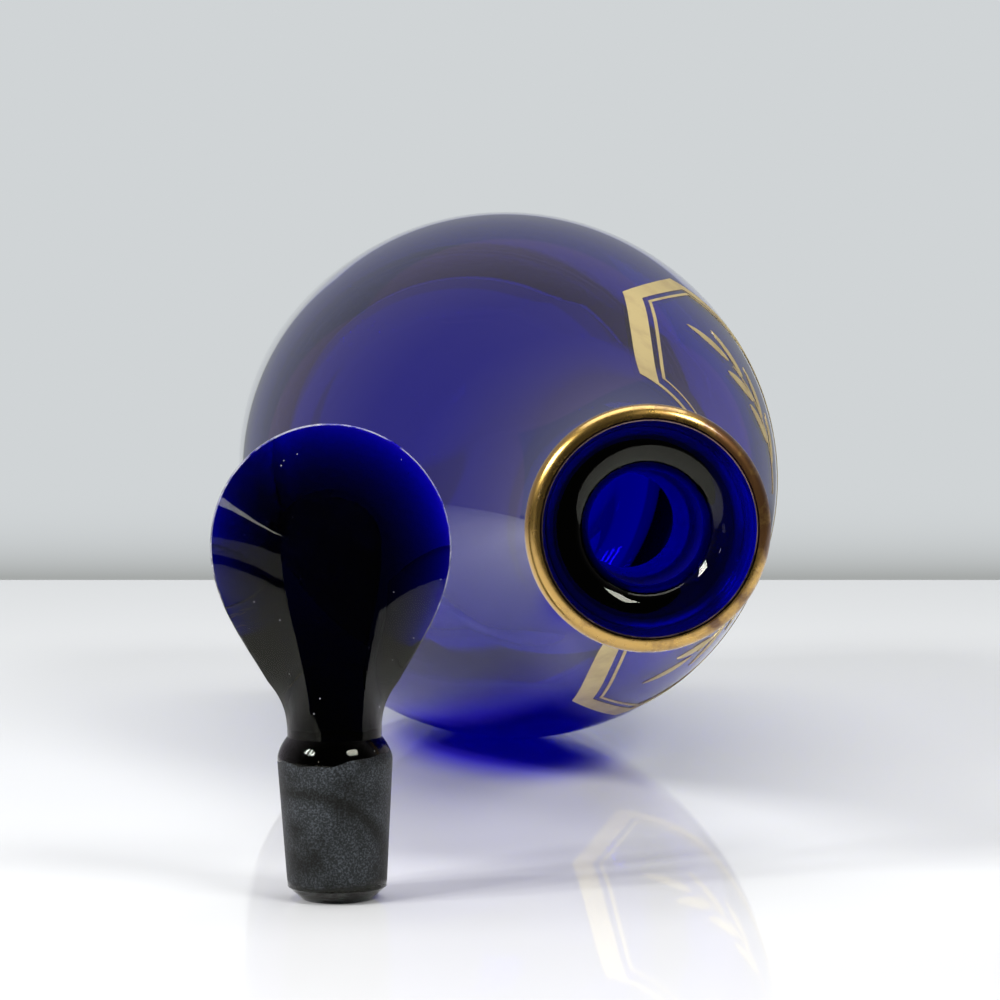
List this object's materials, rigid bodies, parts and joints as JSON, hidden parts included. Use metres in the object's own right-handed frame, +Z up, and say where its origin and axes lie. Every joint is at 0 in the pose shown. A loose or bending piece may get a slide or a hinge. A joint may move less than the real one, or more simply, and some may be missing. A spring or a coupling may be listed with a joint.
{
  "type": "brandy decanter",
  "caption": "Tapered blue glass decanter lying on its side, with a gilt lip and gilt label frame, and its bevel-cut glass stopper standing beside the mouth.",
  "frame": {"origin": "on the resting plane, under the middle of the part's box", "axes": "+Y along the vessel's axis towards its base, -Y out of its mouth, +X towards the side with the gilt label, +Z up"},
  "size_m": [0.0972, 0.2376, 0.088],
  "materials": {
    "blown_cobalt_glass": "fire-polished",
    "cut_cobalt_glass": "cut and polished, with a ground peg",
    "fired_gold": "worn fired gold"
  },
  "bodies": {
    "decanter": {"vessel": "blown_cobalt_glass", "lip_gilding": "fired_gold", "label_outer_band": "fired_gold", "label_inner_line": "fired_gold", "spray_stem_upper": "fired_gold", "spray_stem_lower": "fired_gold", "spray_leaf_upper_1": "fired_gold", "spray_leaf_upper_2": "fired_gold", "spray_leaf_upper_3": "fired_gold", "spray_leaf_upper_4": "fired_gold", "spray_leaf_upper_5": "fired_gold", "spray_leaf_upper_6": "fired_gold", "spray_leaf_lower_1": "fired_gold", "spray_leaf_lower_2": "fired_gold", "spray_leaf_lower_3": "fired_gold", "spray_leaf_lower_4": "fired_gold", "spray_leaf_lower_5": "fired_gold", "spray_leaf_lower_6": "fired_gold"},
    "stopper": {"stopper": "cut_cobalt_glass"}
  },
  "joints": [
    {"name": "stopper_lift", "type": "slide", "parent": "decanter", "child": "stopper", "axis": [0, 0, 1], "range_m": [0, 0.12]}
  ]
}
